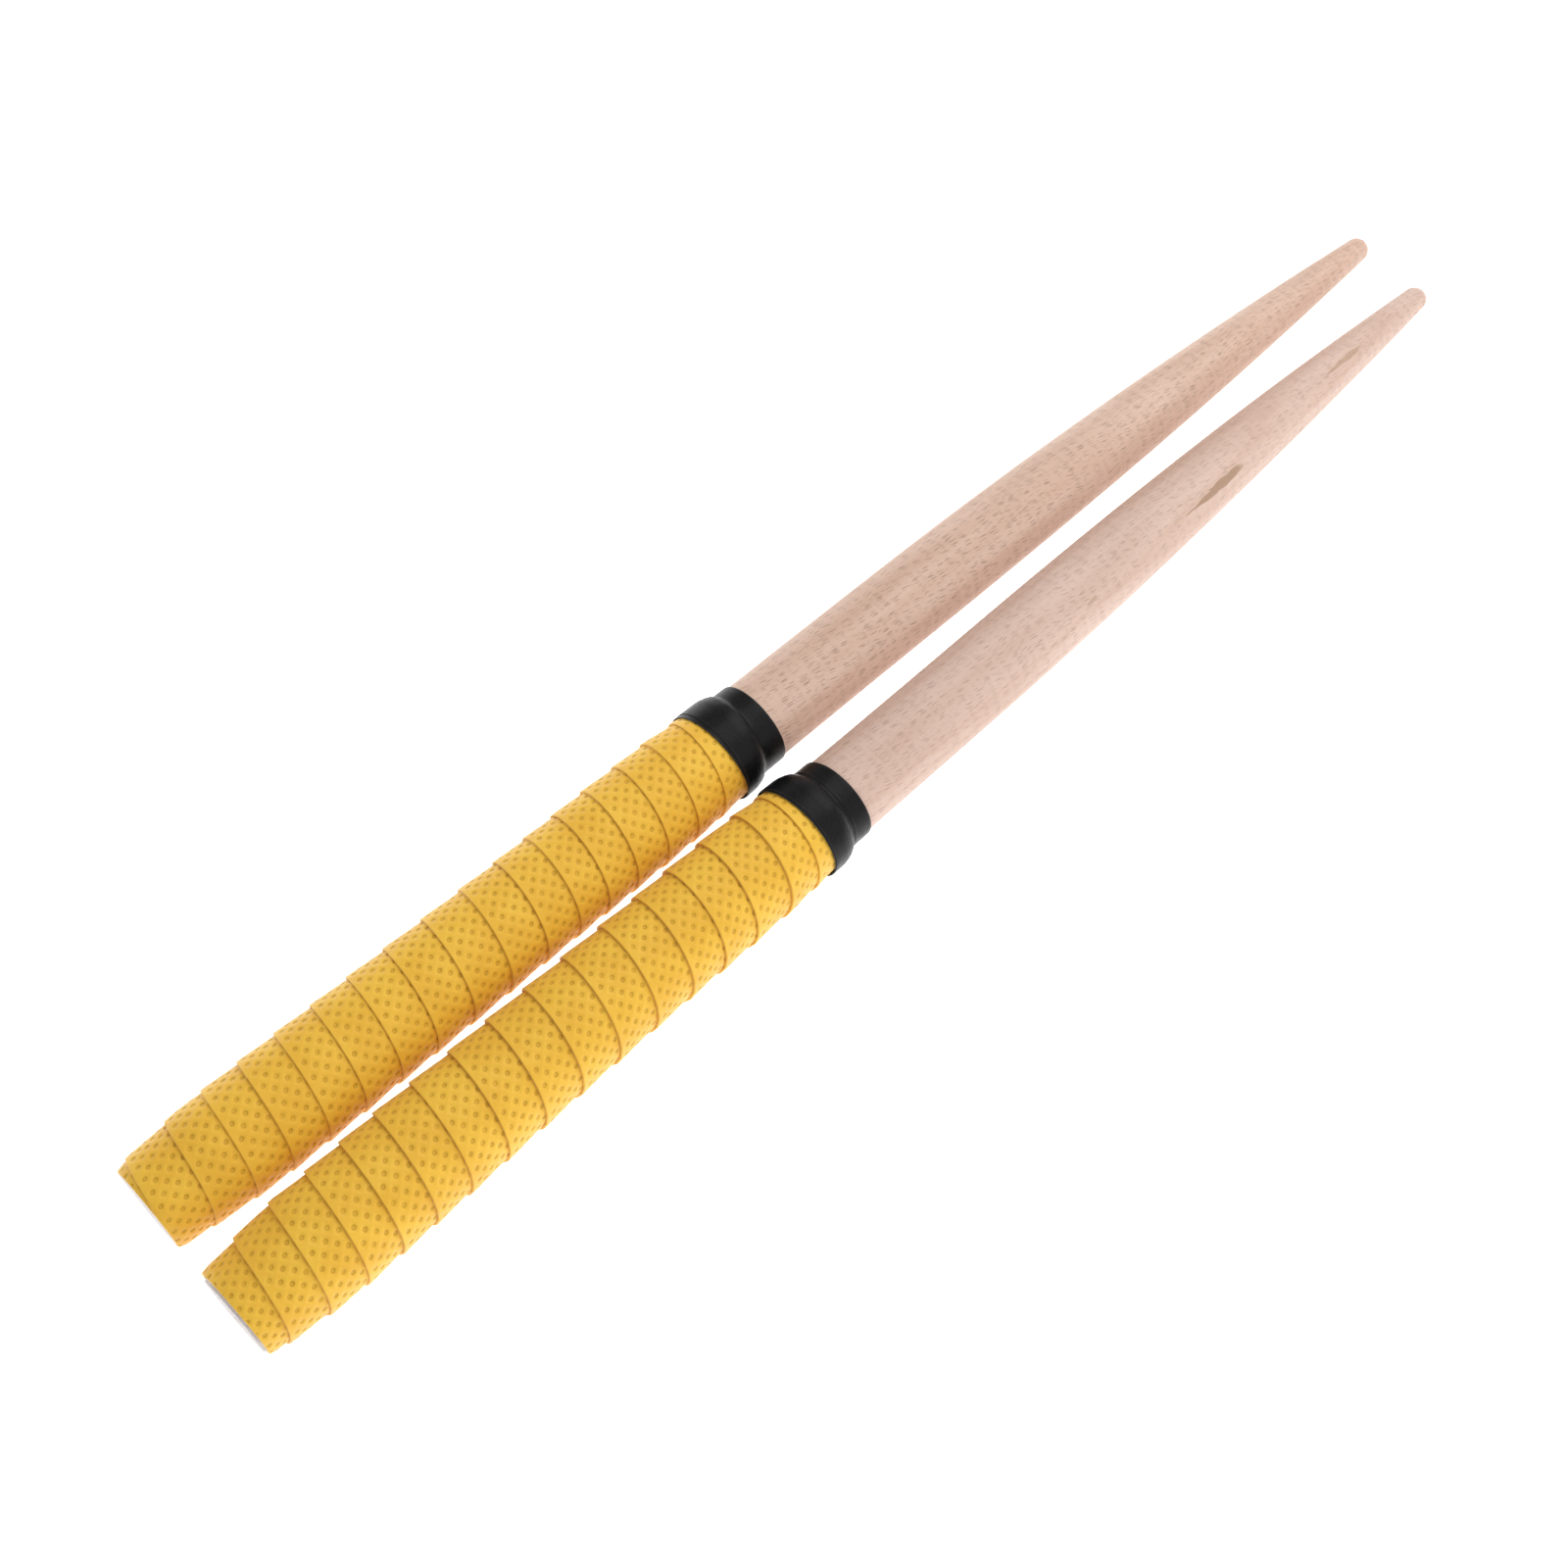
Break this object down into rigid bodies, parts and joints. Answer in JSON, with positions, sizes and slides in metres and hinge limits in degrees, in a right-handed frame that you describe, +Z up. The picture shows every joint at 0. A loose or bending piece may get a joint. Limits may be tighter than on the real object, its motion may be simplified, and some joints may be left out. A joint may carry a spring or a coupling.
{
  "type": "pair of tapered drum sticks",
  "caption": "Two tapered wooden percussion sticks lying side by side, each with a wound perforated grip strip finished by a tape band.",
  "frame": {"origin": "middle of the pair's footprint, on the surface that the sticks lie on", "axes": "+X from the butts towards the tips, +Y from stick b towards stick a, +Z up"},
  "size_m": [0.4008, 0.052, 0.028],
  "materials": {
    "wood": "fine-sanded pale beech with short dark ray flecks",
    "grip": "matte yellow synthetic leather with rows of small dimples",
    "tape": "black stretched vinyl tape with a soft gloss",
    "adhesive": "thin double-sided adhesive film"
  },
  "bodies": {
    "stick_a": {"shaft_a": "wood", "starter_patch_a": "adhesive", "grip_strip_a": "grip", "finishing_tape_a": "tape"},
    "stick_b": {"shaft_b": "wood", "starter_patch_b": "adhesive", "grip_strip_b": "grip", "finishing_tape_b": "tape"}
  },
  "joints": [
    {"name": "stick_b_lift", "type": "slide", "parent": "stick_a", "child": "stick_b", "axis": [0, 0, 1], "range_m": [0, 0.08]}
  ]
}
